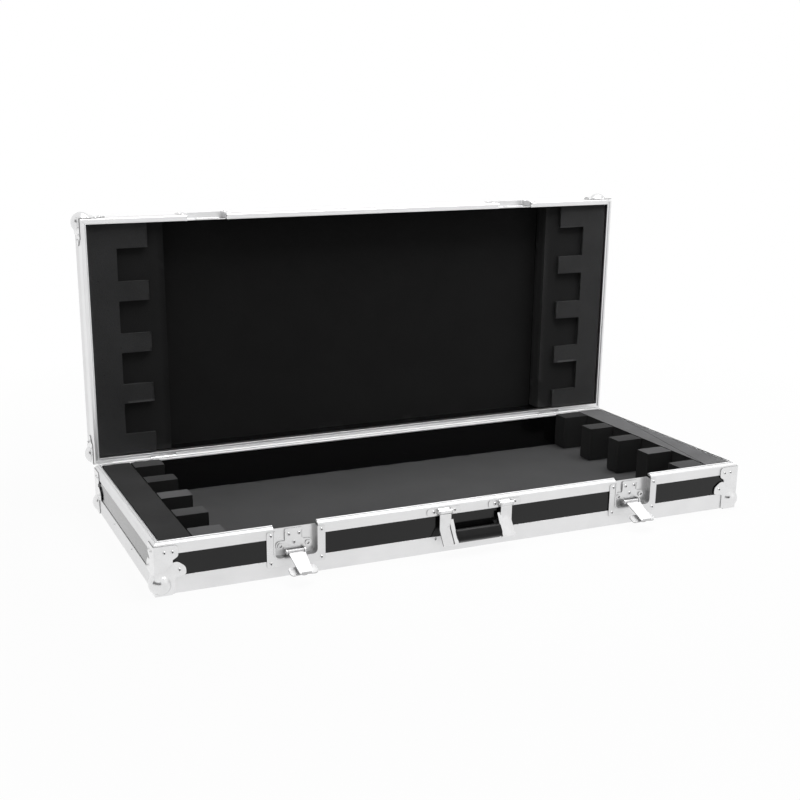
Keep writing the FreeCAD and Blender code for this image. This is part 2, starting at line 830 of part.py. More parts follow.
def build_base():
    walls = base_walls()
    rims = base_rims()
    angles = edge_angles()
    braces = four(brace(base_brace_share))
    balls = [ball.cut(b) for ball, b in zip(four(ball_corner(base_petal_share)), braces)]
    rivets = brace_rivets(base_brace_share) + petal_rivets(base_petal_share) + angle_rivets()
    pan = dish(dish_far, recess_far, recess_deep, recess_round).fuse(rest_block()).removeSplitter()
    for name, hand in HANDS.items():
        at = hand * latch_offset
        hole = moved(dish_cut(recess_far), at)
        walls["front"] = walls["front"].cut(hole)
        rims["front"] = rims["front"].cut(hole)
        angles["front"] = angles["front"].cut(hole)
        rims["rear"] = rims["rear"].cut(moved(hinge_notch(), hand * hinge_offset))
        save("base_latch_dish_" + name, moved(pan, at))
        save("base_latch_bracket_" + name, moved(latch_bracket(), at))
        save("base_hinge_leaf_" + name, moved(base_leaf(), hand * hinge_offset))
        rivets += [moved(r, at) for r in dish_rivets(dish_far) + bracket_rivets()]
        rivets += [moved(r, hand * handle_arm_out) for r in handle_rivets()]
        rivets += [moved(r, hand * hinge_offset) for r in hinge_rivets()]
    for side in SIDES:
        save("base_panel_" + side, walls[side])
        save("base_rim_" + side, rims[side])
    save("base_panel_floor", floor_panel())
    save("base_bottom_angles", list(angles.values()))
    save("base_corner_angles", corner_angles())
    save("base_ball_corners", balls)
    save("base_rim_braces", braces)
    save("base_rivets", rivets)
    save("base_latch_bars", [moved(latch_bar(), hand * latch_offset) for hand in HANDS.values()])
    save("base_handle_brackets", [moved(handle_bracket(), hand * handle_arm_out) for hand in HANDS.values()])
    save("base_handle_pins", [moved(handle_pin(), hand * handle_arm_out) for hand in HANDS.values()])
    save("base_hinge_pins", [moved(hinge_pin(), hand * hinge_offset) for hand in HANDS.values()])
    right = comb(foam_top + foam_gap, base_height + comb_proud, comb_pitch_share, comb_notch_share, 0)
    save("base_foam_comb_right", right)
    save("base_foam_comb_left", mirror_x(right))
    save("base_foam_floor", floor_foam())


def build_lid():
    walls = lid_walls()
    rims = lid_rims()
    angles = {side: over_top(shape) for side, shape in edge_angles().items()}
    braces = [over_seam(b) for b in four(brace(lid_brace_share))]
    balls = [over_top(b) for b in four(ball_corner(lid_petal_share))]
    balls = [ball.cut(b) for ball, b in zip(balls, braces)]
    rivets = [over_seam(r) for r in brace_rivets(lid_brace_share)]
    rivets += [over_top(r) for r in petal_rivets(lid_petal_share)]
    pan = over_seam(dish(lid_dish_far, lid_recess_far, lid_recess_deep, lid_recess_round))
    for name, hand in HANDS.items():
        at = hand * latch_offset
        hole = moved(over_seam(dish_cut(lid_recess_far)), at)
        walls["front"] = walls["front"].cut(moved(over_seam(dish_cut(lid_height)), at))
        rims["front"] = rims["front"].cut(hole)
        angles["front"] = angles["front"].cut(hole)
        rims["rear"] = rims["rear"].cut(moved(hinge_notch(), hand * hinge_offset))
        save("lid_latch_dish_" + name, open_lid(moved(pan, at)))
        save("lid_keeper_" + name, open_lid(moved(keeper(), at)))
        save("lid_hinge_leaf_" + name, open_lid(moved(lid_leaf(), hand * hinge_offset)))
        rivets += [over_seam(moved(r, at)) for r in dish_rivets(lid_dish_far)]
        rivets += [over_seam(moved(r, hand * hinge_offset)) for r in hinge_rivets()]
    for side in SIDES:
        save("lid_panel_" + side, open_lid(walls[side]))
        save("lid_rim_" + side, open_lid(rims[side]))
    save("lid_panel_top", open_lid(over_top(floor_panel())))
    save("lid_top_angles", [open_lid(a) for a in angles.values()])
    save("lid_ball_corners", [open_lid(b) for b in balls])
    save("lid_rim_braces", [open_lid(b) for b in braces])
    save("lid_rivets", [open_lid(r) for r in rivets])
    right = comb(lid_base + lid_comb_recess, lid_base + lid_layer_recess - foam_gap,
                 lid_pitch_share, lid_notch_share, lid_comb_shift)
    right = open_lid(right)
    layer = open_lid(lid_layer())
    save("lid_foam_comb_right", right)
    save("lid_foam_comb_left", mirror_x(right))
    save("lid_foam_layer_right", layer)
    save("lid_foam_layer_left", mirror_x(layer))
    save("lid_lining", open_lid(lid_lining()))


def build_latches():
    for name, hand in HANDS.items():
        at = hand * latch_offset
        save("latch_carrier_" + name, moved(open_latch(latch_carrier()), at))
        save("latch_hook_" + name, moved(open_latch(latch_hook()), at))
        save("latch_wing_" + name, moved(open_latch(latch_wing()), at))


def build_handle():
    arm = moved(handle_arm(), -handle_arm_out)
    save("handle_arms", [arm, mirror_x(arm)])
    save("handle_grip", handle_grip())


os.makedirs("parts", exist_ok=True)
build_base()
build_lid()
build_latches()
build_handle()
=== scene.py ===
"""Looks of an open flight case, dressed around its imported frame."""

from __future__ import annotations

import json
import logging
import math
from dataclasses import dataclass, field
from enum import Enum
from typing import Sequence, Union

import bmesh
import bpy
from bmesh.types import BMesh
from mathutils import Matrix, Vector, noise

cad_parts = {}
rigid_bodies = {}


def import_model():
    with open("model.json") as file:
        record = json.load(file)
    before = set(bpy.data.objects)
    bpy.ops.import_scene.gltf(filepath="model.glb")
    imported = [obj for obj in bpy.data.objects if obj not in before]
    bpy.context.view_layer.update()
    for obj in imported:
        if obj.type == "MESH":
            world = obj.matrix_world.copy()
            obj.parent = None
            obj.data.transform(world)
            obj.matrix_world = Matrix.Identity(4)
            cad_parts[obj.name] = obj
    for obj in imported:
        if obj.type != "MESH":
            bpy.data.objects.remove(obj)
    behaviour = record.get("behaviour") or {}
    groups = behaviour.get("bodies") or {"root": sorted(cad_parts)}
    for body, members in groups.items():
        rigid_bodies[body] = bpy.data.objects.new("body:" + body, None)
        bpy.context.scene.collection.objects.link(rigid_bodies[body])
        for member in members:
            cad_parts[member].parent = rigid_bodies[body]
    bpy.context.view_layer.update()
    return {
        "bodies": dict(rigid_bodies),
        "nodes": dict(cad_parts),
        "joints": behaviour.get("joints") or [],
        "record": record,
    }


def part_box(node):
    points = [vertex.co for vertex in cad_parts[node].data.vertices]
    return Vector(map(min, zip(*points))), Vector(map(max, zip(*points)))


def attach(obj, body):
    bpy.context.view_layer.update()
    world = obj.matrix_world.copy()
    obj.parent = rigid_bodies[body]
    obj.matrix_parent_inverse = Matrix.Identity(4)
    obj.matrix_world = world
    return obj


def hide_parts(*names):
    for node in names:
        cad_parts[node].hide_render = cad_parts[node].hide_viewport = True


LOG = logging.getLogger("flight_case")
# In metres: a millimetre, the distance that merges corners, and how far level corners may differ
MM = 0.001
MERGE = 0.000002
LEVEL = 0.0001
FLAT_ANGLE = math.radians(0.5)
EASE_ANGLE = math.radians(35)
WHITE = (1.0, 1.0, 1.0)

Number = Union[int, float]
Value = Union["Signal", Number, Sequence[Number]]
Colour = tuple[float, float, float]
Point = tuple[float, float, float]


class Run(Enum):
    """The direction that a length of metal was drawn or rolled in."""

    X = 0
    Y = 1
    Z = 2


class Body(Enum):
    """The bodies that pieces ride on."""

    BASE = "base"
    LID = "lid"
    HANDLE = "handle"
    CARRIER_LEFT = "latch_carrier_left"
    CARRIER_RIGHT = "latch_carrier_right"
    WING_LEFT = "latch_wing_left"
    WING_RIGHT = "latch_wing_right"
    HOOK_LEFT = "latch_hook_left"
    HOOK_RIGHT = "latch_hook_right"


class Tone(Enum):
    """Tones of foam; the lit, shaded and wall tones are painted light and painted shade on one foam."""

    PLAIN = "comb"
    WORN = "comb_worn"
    BARE = "comb_bare"
    DARK = "comb_dark"
    DEEP = "comb_deep"
    WALL = "comb_wall"
    LID = "lid_comb"
    LID_WALL = "lid_wall"
    LAYER = "layer"
    FLOOR = "floor"
    LINING = "lining"


class Plate(Enum):
    """Finishes of steel, by the names of their materials."""

    STEEL = "plated_steel"
    PRESSED = "pressed_steel"
    SATIN = "satin_plate"
    # A darker plate of painted shade for the latch wings.
    DULL = "dull_plate"
    # A dark plate of painted shade for thin edges.
    EDGE = "cut_edge"
    # A darker plate of painted shade for the walls of pressings.
    WALL = "pressed_wall"
    CHROME = "bright_plate"
    # A dark plate of painted shade for pits and holes.
    PIT = "rivet_pit"


class Slot(Enum):
    """The record's material slots."""

    LAMINATE = "laminate"
    ALUMINIUM = "aluminium"
    STEEL = "steel"
    CHROME = "chrome"
    FOAM = "foam"
    GRIP = "grip"


class Signal:
    """A shader socket that takes part in Python expressions."""

    def __init__(self, graph: "Graph", socket: bpy.types.NodeSocket) -> None:
        """Keeps the socket and the graph that it belongs to."""
        self.graph = graph
        self.socket = socket

    def _math(self, operation: str, first: Value, second: Value) -> "Signal":
        """Adds one Math node.

        Args:
            operation: The Math node's operation.
            first: The first operand.
            second: The second operand.

        Returns:
            The node's result.
        """
        return self.graph.node("ShaderNodeMath", {"operation": operation}, {0: first, 1: second})

    def __add__(self, other: Value) -> "Signal":
        """Sum."""
        return self._math("ADD", self, other)

    def __radd__(self, other: Value) -> "Signal":
        """Reflected sum."""
        return self._math("ADD", other, self)

    def __sub__(self, other: Value) -> "Signal":
        """Difference."""
        return self._math("SUBTRACT", self, other)

    def __rsub__(self, other: Value) -> "Signal":
        """Reflected difference."""
        return self._math("SUBTRACT", other, self)

    def __mul__(self, other: Value) -> "Signal":
        """Product."""
        return self._math("MULTIPLY", self, other)

    def most(self, other: Value) -> "Signal":
        """The larger of the two."""
        return self._math("MAXIMUM", self, other)


class Graph:
    """A node tree whose nodes are added one at a time."""

    def __init__(self, tree: bpy.types.NodeTree) -> None:
        """Empties the tree."""
        self.tree = tree
        self.tree.nodes.clear()

    def feed(self, socket: bpy.types.NodeSocket, value: Value) -> None:
        """Links a signal to a socket, or sets the socket's own value.

        Args:
            socket: The socket that takes the value.
            value: A signal, number, colour or vector.
        """
        if isinstance(value, Signal):
            self.tree.links.new(value.socket, socket)
        elif isinstance(value, (int, float)):
            socket.default_value = value
        else:
            room = len(socket.default_value)
            socket.default_value = (list(value) + [1.0])[:room]

    def node(self, kind: str, settings: dict | None = None, inputs: dict | None = None,
             output: int | str = 0) -> Signal:
        """Adds one node.

        Args:
            kind: The node's type.
            settings: Its properties; stops holds a ramp's (position, colour) pairs.
            inputs: Values or links by socket name or number.
            output: The output to return.

        Returns:
            That output.
        """
        made = self.tree.nodes.new(kind)
        for key, value in (settings or {}).items():
            if key == "stops":
                self._stops(made.color_ramp, value)
            else:
                setattr(made, key, value)
        for key, value in (inputs or {}).items():
            self.feed(made.inputs[key], value)
        return Signal(self, made.outputs[output])

    @staticmethod
    def _stops(ramp: bpy.types.ColorRamp, stops: Sequence[tuple]) -> None:
        """Sets a ramp's stops.

        Args:
            ramp: The ramp.
            stops: Its (position, grey or colour) pairs, in order.
        """
        while len(ramp.elements) < len(stops):
            ramp.elements.new(1.0)
        for element, (place, shade) in zip(ramp.elements, stops):
            colour = (shade,) * 3 if isinstance(shade, (int, float)) else tuple(shade)
            element.position = place
            element.color = colour + (1.0,)

    def mix(self, share: Value, first: Value, second: Value) -> Signal:
        """A blend of two colours."""
        return self.node("ShaderNodeMix", {"data_type": "RGBA"}, {0: share, 6: first, 7: second}, 2)

    def rays(self) -> tuple[Signal, ...]:
        """Signals of one for rays straight from the camera, for glossy ones and for those through glass."""
        path = self.tree.nodes.new("ShaderNodeLightPath")
        kinds = ("Is Camera Ray", "Is Glossy Ray", "Is Transmission Ray")
        return tuple(Signal(self, path.outputs[kind]) for kind in kinds)


class Surface(Graph):
    """A material that ends in one Principled shader."""

    def __init__(self, name: str) -> None:
        """Starts the material."""
        self.material = bpy.data.materials.new(name)
        self.material.use_nodes = True
        super().__init__(self.material.node_tree)
        self.shader = self.tree.nodes.new("ShaderNodeBsdfPrincipled")
        self.end = self.tree.nodes.new("ShaderNodeOutputMaterial")
        self.tree.links.new(self.shader.outputs[0], self.end.inputs[0])

    def place(self, stretch: Sequence[Number] = (1, 1, 1)) -> Signal:
        """Object coordinates, scaled along each axis."""
        where = self.node("ShaderNodeTexCoord", output="Object")
        return self.node("ShaderNodeMapping", None, {"Vector": where, "Scale": stretch})

    def noise(self, scale: Number, detail: Number = 2, stretch: Sequence[Number] = (1, 1, 1)) -> Signal:
        """Noise on object coordinates, in cycles a metre."""
        inputs = {"Vector": self.place(stretch), "Scale": scale, "Detail": detail}
        return self.node("ShaderNodeTexNoise", None, inputs)

    def cells(self, scale: Number, feature: str = "F1") -> Signal:
        """Distance to the nearest cell point, in cells a metre."""
        inputs = {"Vector": self.place(), "Scale": scale}
        return self.node("ShaderNodeTexVoronoi", {"feature": feature}, inputs)

    def ramp(self, value: Signal, *stops: tuple) -> Signal:
        """A ramp with the given (position, shade) stops."""
        return self.node("ShaderNodeValToRGB", {"stops": stops}, {0: value})

    def bump(self, height: Signal, distance: float, strength: float, under: Signal | None = None) -> Signal:
        """A bump over the surface.

        Args:
            height: Its height, from zero to one.
            distance: What a height of one stands for, in metres.
            strength: The share of it that shows.
            under: A bump that it lies over, if there is one.

        Returns:
            The bent normal.
        """
        inputs: dict = {"Height": height, "Distance": distance, "Strength": strength}
        if under is not None:
            inputs["Normal"] = under
        return self.node("ShaderNodeBump", None, inputs)

    def finish(self, **inputs: Value) -> bpy.types.Material:
        """Feeds the shader's sockets.

        Args:
            inputs: Values by socket name, with underscores for spaces.

        Returns:
            The material.
        """
        for key, value in inputs.items():
            self.feed(self.shader.inputs[key.replace("_", " ")], value)
        return self.material


@dataclass(frozen=True)
class DrawnMetal:
    """Metal with fine lines along its length, a cloudy sheen, stray scratches and dull spots."""

    name: str
    colour: Colour
    dull: Colour
    rough: float
    spread: float
    run: Run = Run.X
    lines: float = 2600.0
    line_depth: float = 0.000004
    clouds: float = 22.0
    line_share: float = 0.006
    scratches: float = 260.0
    scratch_share: float = 0.12
    spots: float = 85.0

    def build(self) -> bpy.types.Material:
        """Makes the material."""
        surface = Surface(self.name)
        lines = surface.noise(self.lines, 2, self._along(self.line_share))
        clouds = surface.noise(self.clouds, 4)
        marks = surface.noise(self.scratches, 2, self._along(self.scratch_share))
        scratches = surface.ramp(marks, (0.70, 0.0), (0.76, 1.0))
        spots = surface.ramp(surface.cells(self.spots), (0.03, 1.0), (0.09, 0.0))
        worn = surface.ramp(clouds, (0.35, 0.0), (0.75, 1.0))
        colour = surface.mix(worn, self.colour, self.dull)
        colour = surface.mix(scratches * 0.2, colour, tuple(min(1.0, c * 1.06) for c in self.colour))
        colour = surface.mix(spots * 0.15, colour, tuple(c * 0.75 for c in self.dull))
        rough = self.rough + (lines - 0.5) * self.spread + worn * (self.spread * 0.5) + scratches * 0.06
        normal = surface.bump(lines, self.line_depth, 0.15, surface.bump(clouds, 0.0001, 0.04))
        return surface.finish(Base_Color=colour, Metallic=1.0, Roughness=rough, Normal=normal)

    def _along(self, share: float) -> list[float]:
        """Mapping scales that stretch a pattern along the run."""
        return [share if axis == self.run.value else 1.0 for axis in range(3)]


@dataclass(frozen=True)
class PebbledLaminate:
    """Black plastic-faced board with a fine pebble grain and a few pale scuffs."""

    name: str
    colour: Colour = (0.0035, 0.0035, 0.0038)
    pale: Colour = (0.008, 0.008, 0.0085)
    scuff: Colour = (0.03, 0.03, 0.031)
    rough: float = 0.14
    pebbles: float = 900.0
    grain: float = 1500.0
    patches: float = 9.0
    scuffs: float = 120.0

    def build(self) -> bpy.types.Material:
        """Makes the material."""
        surface = Surface(self.name)
        pebbles = surface.cells(self.pebbles, "SMOOTH_F1")
        grain = surface.noise(self.grain, 3)
        patches = surface.noise(self.patches, 4)
        scuffs = surface.ramp(surface.noise(self.scuffs, 3, (0.2, 0.2, 1.0)), (0.68, 0.0), (0.80, 1.0))
        colour = surface.mix(surface.ramp(grain, (0.35, 0.0), (0.8, 1.0)), self.colour, self.pale)
        colour = surface.mix(scuffs * 0.2, colour, self.scuff)
        rough = self.rough + patches * 0.10 + grain * 0.06 - scuffs * 0.04
        gloss = 1.0 - patches * 0.12 - scuffs * 0.15
        normal = surface.bump(grain, 0.00004, 0.25, surface.bump(pebbles, 0.0001, 0.3))
        return surface.finish(Base_Color=colour, Roughness=rough, Normal=normal, Specular_IOR_Level=0.1,
                              Coat_Weight=gloss, Coat_Roughness=0.08, Coat_IOR=1.36)


@dataclass(frozen=True)
class CellFoam:
    """Black closed-cell foam: cut cells, paler handled patches, long knife marks and stray voids."""

    name: str
    colour: Colour
    pale: Colour
    voids: float
    cells: float = 620.0
    fine: float = 2200.0
    slow: float = 11.0
    drags: float = 70.0
    holes: float = 48.0

    def build(self) -> bpy.types.Material:
        """Makes the material."""
        surface = Surface(self.name)
        cells = surface.cells(self.cells)
        fine = surface.noise(self.fine, 2)
        slow = surface.noise(self.slow, 5)
        drags = surface.noise(self.drags, 3, (0.25, 1.0, 0.25))
        pits = surface.ramp(cells, (0.12, 0.0), (0.55, 1.0))
        handled = surface.ramp(slow, (0.36, 0.0), (0.70, 1.0))
        colour = surface.mix(handled * 0.6 + fine * 0.25 + drags * 0.15, self.colour, self.pale)
        colour = surface.mix((1.0 - pits) * 0.35, colour, tuple(c * 0.45 for c in self.colour))
        holes = surface.ramp(surface.cells(self.holes), (0.030, 1.0), (0.055, 0.0))
        colour = surface.mix(holes * self.voids, colour, tuple(c * 0.15 for c in self.colour))
        normal = surface.bump(cells, 0.0006, 0.5, surface.bump(slow, 0.002, 0.2))
        return surface.finish(Base_Color=colour, Roughness=0.92, Normal=normal, Specular_IOR_Level=0.25,
                              Sheen_Weight=0.08, Sheen_Roughness=0.6)


@dataclass(frozen=True)
class MouldedGrip:
    """Black moulded grip with a soft leathery grain."""

    name: str
    colour: Colour = (0.002, 0.002, 0.0022)
    pale: Colour = (0.006, 0.006, 0.0063)
    rough: float = 0.30
    grain: float = 700.0
    wear: float = 45.0

    def build(self) -> bpy.types.Material:
        """Makes the material."""
        surface = Surface(self.name)
        grain = surface.cells(self.grain, "SMOOTH_F1")
        wear = surface.noise(self.wear, 4)
        colour = surface.mix(surface.ramp(wear, (0.45, 0.0), (0.8, 1.0)), self.colour, self.pale)
        rough = self.rough + wear * 0.18
        normal = surface.bump(grain, 0.0003, 0.5)
        return surface.finish(Base_Color=colour, Roughness=rough, Normal=normal, Specular_IOR_Level=0.22)


def grey(shade: float, blue: float = 1.02) -> Colour:
    """A near-neutral colour, a little cool."""
    return (shade, shade, min(1.0, shade * blue))


@dataclass
class Finishes:
    """Every finish of the case, made once."""

    metal_blue: float = 1.005
    satin_profile: tuple[float, ...] = (0.81, 0.78, 0.50, 0.10)
    bright_profile: tuple[float, ...] = (0.81, 0.79, 0.30, 0.05)
    profile: dict[Run, bpy.types.Material] = field(default_factory=dict)
    lid_profile: dict[Run, bpy.types.Material] = field(default_factory=dict)
    plate: dict[Plate, bpy.types.Material] = field(default_factory=dict)
    foam: dict[Tone, bpy.types.Material] = field(default_factory=dict)
    laminate: bpy.types.Material | None = None
    grip: bpy.types.Material | None = None

    def build(self) -> "Finishes":
        """Makes the materials.

        Returns:
            Itself.
        """
        for run in Run:
            end = "_profile_" + run.name.lower()
            self.profile[run] = self._metal("satin" + end, *self.satin_profile, run)
            self.lid_profile[run] = self._metal("bright" + end, *self.bright_profile, run)
        plates = {Plate.STEEL: (0.79, 0.75, 0.20, 0.10, Run.X, 500.0, 0.000004, 60.0),
                  Plate.PRESSED: (0.75, 0.71, 0.28, 0.10, Run.X, 1500.0, 0.000003, 40.0),
                  Plate.SATIN: (0.66, 0.60, 0.64, 0.10, Run.Z, 1500.0, 0.000004, 60.0),
                  # The wing plate is darker: painted shade on the latch wings.
                  Plate.DULL: (0.58, 0.48, 0.66, 0.12, Run.X, 1500.0, 0.000004, 60.0),
                  # The edge plate is dark: painted shade along thin edges.
                  Plate.EDGE: (0.30, 0.22, 0.45, 0.15, Run.X, 1500.0, 0.000006, 90.0),
                  # The wall plate is darker: painted shade on the walls of pressings.
                  Plate.WALL: (0.46, 0.38, 0.45, 0.15, Run.X, 1500.0, 0.000006, 90.0),
                  Plate.CHROME: (0.75, 0.70, 0.14, 0.08, Run.X, 400.0, 0.000003, 70.0)}
        for plate, values in plates.items():
            self.plate[plate] = self._metal(plate.value, *values)
        # The pit plate is dark: painted shade in rivet pits and eyelet holes.
        self.plate[Plate.PIT] = DrawnMetal(Plate.PIT.value, grey(0.16), grey(0.08), 0.5, 0.2, Run.X,
                                           400.0, 0.00001, 300.0).build()
        # The lit and shaded comb tones are one foam painted lighter or darker: painted light and painted
        # shade.
        tones = {Tone.PLAIN: (0.060, 0.086, 0.0), Tone.WORN: (0.092, 0.132, 0.0),
                 Tone.BARE: (0.130, 0.190, 0.0), Tone.DARK: (0.030, 0.048, 0.0),
                 # The wall tone is painted shade on the walls of the foam.
                 Tone.DEEP: (0.008, 0.028, 0.0), Tone.WALL: (0.012, 0.019, 0.0),
                 # The lid wall tone is painted shade on the lid comb's walls.
                 Tone.LID: (0.050, 0.076, 0.8), Tone.LID_WALL: (0.014, 0.022, 0.0),
                 # The layer's darker tone is partly its own foam and partly painted shade.
                 Tone.LAYER: (0.012, 0.019, 0.3), Tone.FLOOR: (0.056, 0.070, 0.0),
                 Tone.LINING: (0.002, 0.006, 0.0)}
        for tone, (dark, pale, voids) in tones.items():
            self.foam[tone] = CellFoam("foam_" + tone.value, grey(dark), grey(pale), voids).build()
        self.laminate = PebbledLaminate("pebbled_laminate").build()
        self.grip = MouldedGrip("moulded_grip").build()
        return self

    def _metal(self, name: str, colour: float, dull: float, *others: float | Run) -> bpy.types.Material:
        """Makes one drawn metal.

        Args:
            name: Its name.
            colour: The tone of its bright parts.
            dull: The tone of its dull parts.
            others: Its further values, in order.

        Returns:
            The material.
        """
        return DrawnMetal(name, grey(colour, self.metal_blue), grey(dull, self.metal_blue), *others).build()


def nodes_named(frame: dict, *starts: str) -> list[str]:
    """Frame nodes whose names begin with any of the given words."""
    return [name for name in sorted(frame["nodes"]) if name.startswith(starts)]


def put(mesh: BMesh, name: str, body: Body, slot: Slot, *materials: bpy.types.Material) -> bpy.types.Object:
    """Turns a bmesh into a piece that rides on a body.

    Args:
        mesh: The finished bmesh, freed here.
        name: The piece's name.
        body: The body that it rides on.
        slot: The record's slot; not used.
        materials: Its materials, in order.

    Returns:
        The new object.
    """
    data = bpy.data.meshes.new(name)
    mesh.to_mesh(data)
    mesh.free()
    for material in materials:
        data.materials.append(material)
    made = bpy.data.objects.new(name, data)
    bpy.context.scene.collection.objects.link(made)
    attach(made, body.value)
    LOG.info("%s rides on %s", name, body.value)
    return made


def eased_mesh(frame: dict, node: str) -> BMesh:
    """A merged copy of a frame node, with its flat faces whole and its curves smooth.

    Args:
        frame: The loaded frame.
        node: The node to copy.

    Returns:
        The copy, on its first material.
    """
    mesh = bmesh.new()
    mesh.from_mesh(frame["nodes"][node].data)
    bmesh.ops.remove_doubles(mesh, verts=mesh.verts, dist=MERGE)
    bmesh.ops.dissolve_limit(mesh, angle_limit=FLAT_ANGLE, verts=mesh.verts, edges=mesh.edges)
    for face in mesh.faces:
        face.smooth = True
        face.material_index = 0
    return mesh


def softened(frame: dict, node: str, body: Body, slot: Slot, materials: Sequence[bpy.types.Material],
             width: float, segments: int = 2, mesh: BMesh | None = None) -> None:
    """Shows a copy of a frame node with its sharp edges eased instead of it.

    Args:
        frame: The loaded frame.
        node: The node to copy.
        body: The body that it rides on.
        slot: Its material slot.
        materials: Its finishes, in order.
        width: The bevel's width in millimetres.
        segments: The bevel's segments.
        mesh: A copy that was worked on already, if there is one.
    """
    made = put(mesh or eased_mesh(frame, node), node + "_eased", body, slot, *materials)
    ease = made.modifiers.new("eased_edges", "BEVEL")
    ease.width = width * MM
    ease.segments = segments
    ease.limit_method = "ANGLE"
    ease.angle_limit = EASE_ANGLE
    ease.harden_normals = True
    ease.use_clamp_overlap = True
    made.data.set_sharp_from_angle(angle=EASE_ANGLE)
    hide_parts(node)


@dataclass(frozen=True)
class Lamp:
    """A soft square lamp: its place, the point that it faces, its side in metres and its power."""

    name: str
    at: Point
    look: Point
    side: float
    watts: float

    def hang(self) -> None:
        """Adds the lamp to the scene."""
        data = bpy.data.lights.new(self.name, "AREA")
        data.size = self.side
        data.energy = self.watts
        lamp = bpy.data.objects.new(self.name, data)
        lamp.location = self.at
        lamp.rotation_mode = "QUATERNION"
        lamp.rotation_quaternion = (Vector(self.look) - Vector(self.at)).to_track_quat("-Z", "Y")
        bpy.context.scene.collection.objects.link(lamp)


@dataclass
class Studio:
    """Pale floor, soft light and the camera at the photograph's angle."""

    floor_height: float = -0.0027
    floor_half: float = 14.0
    floor_bounce: float = 0.22
    floor_tones: tuple[float, float] = (0.86, 0.88)
    near: float = 0.75
    far: float = 1.7
    near_lift: float = 0.955
    gloss_lift: float = 1.0
    sky: float = 0.12
    flag_half_deg: float = 14.0
    flag_full_share: float = 0.7
    flag_turns_deg: tuple[float, ...] = (12.0, -8.0, -28.0, -52.0)
    flag_shade: float = 0.05
    lamps: tuple[Lamp, ...] = (Lamp("overhead", (0.55, -0.05, 2.0), (0.55, -0.05, 0.0), 1.6, 40.0),
                               Lamp("front_left", (-2.6, -3.2, 2.2), (0.0, 0.0, 0.2), 2.4, 2.2),
                               Lamp("front_right", (2.8, -2.6, 1.8), (0.0, 0.0, 0.2), 2.4, 2.2))
    focal_mm: float = 54.33
    sensor_mm: float = 36.0
    camera_at: Point = (-0.982, -2.005, 0.769)
    azimuth_deg: float = 22.68
    below_deg: float = 16.13
    shift: tuple[float, float] = (0.065, 0.0575)

    def build(self) -> None:
        """Makes the floor, world, lamps and camera."""
        self._floor()
        self._world()
        for lamp in self.lamps:
            lamp.hang()
        self._camera()
        bpy.context.scene.view_settings.view_transform = "Standard"

    def _floor(self) -> None:
        """Lays the floor, lifted to white for the camera under the object's shadow."""
        mesh = bmesh.new()
        bmesh.ops.create_grid(mesh, x_segments=1, y_segments=1, size=self.floor_half)
        bmesh.ops.translate(mesh, verts=mesh.verts, vec=(0, 0, self.floor_height))
        data = bpy.data.meshes.new("studio_floor")
        mesh.to_mesh(data)
        mesh.free()
        floor = bpy.data.objects.new("studio_floor", data)
        bpy.context.scene.collection.objects.link(floor)
        surface = Surface("pale_floor")
        camera, glossy, through = surface.rays()
        away = surface.node("ShaderNodeVectorMath", {"operation": "LENGTH"}, {0: surface.place()}, "Value")
        lift = surface.node("ShaderNodeMapRange", None,
                            {0: away, 1: self.near, 2: self.far, 3: self.near_lift, 4: 1.0})
        seen = surface.mix(surface.noise(3.0, 2), *(grey(tone, 1.0) for tone in self.floor_tones))
        surface.finish(Base_Color=surface.mix(camera, grey(self.floor_bounce, 1.0), seen), Roughness=0.9,
                       Specular_IOR_Level=0.1)
        glow = surface.node("ShaderNodeEmission", None, {"Color": WHITE, "Strength": 1.0})
        share = camera * lift + glossy.most(through) * self.gloss_lift
        plain = Signal(surface, surface.shader.outputs[0])
        both = surface.node("ShaderNodeMixShader", None, {0: share, 1: plain, 2: glow})
        surface.feed(surface.end.inputs[0], both)
        data.materials.append(surface.material)

    def _world(self) -> None:
        """Sets a white background and a soft grey sky."""
        world = bpy.data.worlds.new("studio_sky")
        bpy.context.scene.world = world
        world.use_nodes = True
        graph = Graph(world.node_tree)
        camera, glossy, through = graph.rays()
        sky = graph.node("ShaderNodeBackground", None, {"Color": WHITE, "Strength": self.sky})
        flagged = self._flagged(graph, glossy)
        back = graph.node("ShaderNodeBackground", None, {"Color": flagged, "Strength": 1.0})
        seen = camera.most(glossy).most(through)
        both = graph.node("ShaderNodeMixShader", None, {0: seen, 1: sky, 2: back})
        graph.feed(graph.tree.nodes.new("ShaderNodeOutputWorld").inputs[0], both)

    def _flagged(self, graph: Graph, glossy: Signal) -> Signal:
        """A white sky with a row of dark flags beside the photograph's stand, which show in gloss only.

        Args:
            graph: The world's nodes.
            glossy: One for glossy rays.

        Returns:
            The sky's colour.
        """
        where = graph.node("ShaderNodeTexCoord", output="Generated")
        toward = Vector(self.camera_at).normalized()
        rim = math.cos(math.radians(self.flag_half_deg))
        full = math.cos(math.radians(self.flag_half_deg * self.flag_full_share))
        covered: Value = 0.0
        for turn in self.flag_turns_deg:
            middle = Matrix.Rotation(math.radians(turn), 3, "Z") @ toward
            near = graph.node("ShaderNodeVectorMath", {"operation": "DOT_PRODUCT"},
                              {0: where, 1: middle}, "Value")
            covered = graph.node("ShaderNodeMapRange", None, {0: near, 1: rim, 2: full}).most(covered)
        return graph.mix(covered * glossy, WHITE, grey(self.flag_shade, 1.0))

    def _camera(self) -> None:
        """Sets the camera at the photograph's place."""
        data = bpy.data.cameras.new("photo_camera")
        data.lens = self.focal_mm
        data.sensor_width = self.sensor_mm
        data.shift_x, data.shift_y = self.shift
        camera = bpy.data.objects.new("photo_camera", data)
        turn, down = math.radians(self.azimuth_deg), math.radians(self.below_deg)
        ahead = Vector((math.sin(turn) * math.cos(down), math.cos(turn) * math.cos(down), -math.sin(down)))
        camera.location = self.camera_at
        camera.rotation_mode = "QUATERNION"
        camera.rotation_quaternion = ahead.to_track_quat("-Z", "Y")
        bpy.context.scene.collection.objects.link(camera)
        bpy.context.scene.camera = camera


